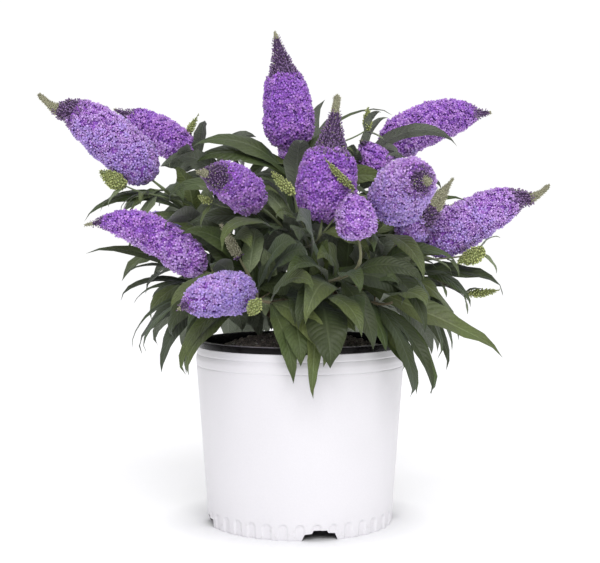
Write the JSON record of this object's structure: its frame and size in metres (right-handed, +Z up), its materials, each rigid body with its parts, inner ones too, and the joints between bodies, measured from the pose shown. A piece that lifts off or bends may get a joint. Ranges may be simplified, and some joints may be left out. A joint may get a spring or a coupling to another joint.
{
  "type": "potted butterfly bush",
  "caption": "Flowering butterfly bush with long violet flower heads and arching leaves, growing in a round white nursery container.",
  "frame": {"origin": "centre of the container's flat underside", "axes": "+Z up; -Y is the front of the plant; X runs along the widest spread of the flower heads"},
  "size_m": [0.6797, 0.5138, 0.6564],
  "materials": {
    "white_shell": "satin",
    "black_shell": "satin",
    "potting_mix": "matte",
    "bark": "matte",
    "leaf": "matte",
    "blossom": "matte"
  },
  "bodies": {
    "root": {"pot": "white_shell", "pot_rim": "black_shell", "potting_mix": "potting_mix", "root_crown": "bark", "bough_front": "bark", "bough_front_left": "bark", "bough_left": "bark", "bough_back_left": "bark", "bough_back": "bark", "bough_back_right": "bark", "bough_right": "bark", "bough_front_right": "bark", "bough_leader": "bark", "head_far_left": "blossom", "head_rear_left": "blossom", "head_mid_left": "blossom", "head_top": "blossom", "head_middle": "blossom", "head_rear_right": "blossom", "head_right_front": "blossom", "head_far_right": "blossom", "head_low_left": "blossom", "head_low_front": "blossom", "head_small_front": "blossom", "head_small_right": "blossom", "head_budding_right": "blossom", "head_slender_left": "blossom", "head_back_high": "blossom", "head_back_left_high": "blossom", "head_back_low": "blossom", "head_back_right_low": "blossom", "head_back_left_low": "blossom", "shoot_far_left": "leaf", "shoot_rear_left": "leaf", "shoot_mid_left": "leaf", "shoot_top": "leaf", "shoot_middle": "leaf", "shoot_rear_right": "leaf", "shoot_right_front": "leaf", "shoot_far_right": "leaf", "shoot_low_left": "leaf", "shoot_low_front": "leaf", "shoot_small_front": "leaf", "shoot_small_right": "leaf", "shoot_budding_right": "leaf", "shoot_slender_left": "leaf", "shoot_back_high": "leaf", "shoot_back_left_high": "leaf", "shoot_back_low": "leaf", "shoot_back_right_low": "leaf", "shoot_back_left_low": "leaf", "shoot_skirt_left": "leaf", "shoot_skirt_front": "leaf", "shoot_skirt_front_left": "leaf", "shoot_inner_right": "leaf", "shoot_skirt_right": "leaf", "shoot_skirt_back_right": "leaf", "shoot_skirt_back": "leaf", "shoot_skirt_back_left": "leaf"}
  },
  "joints": []
}
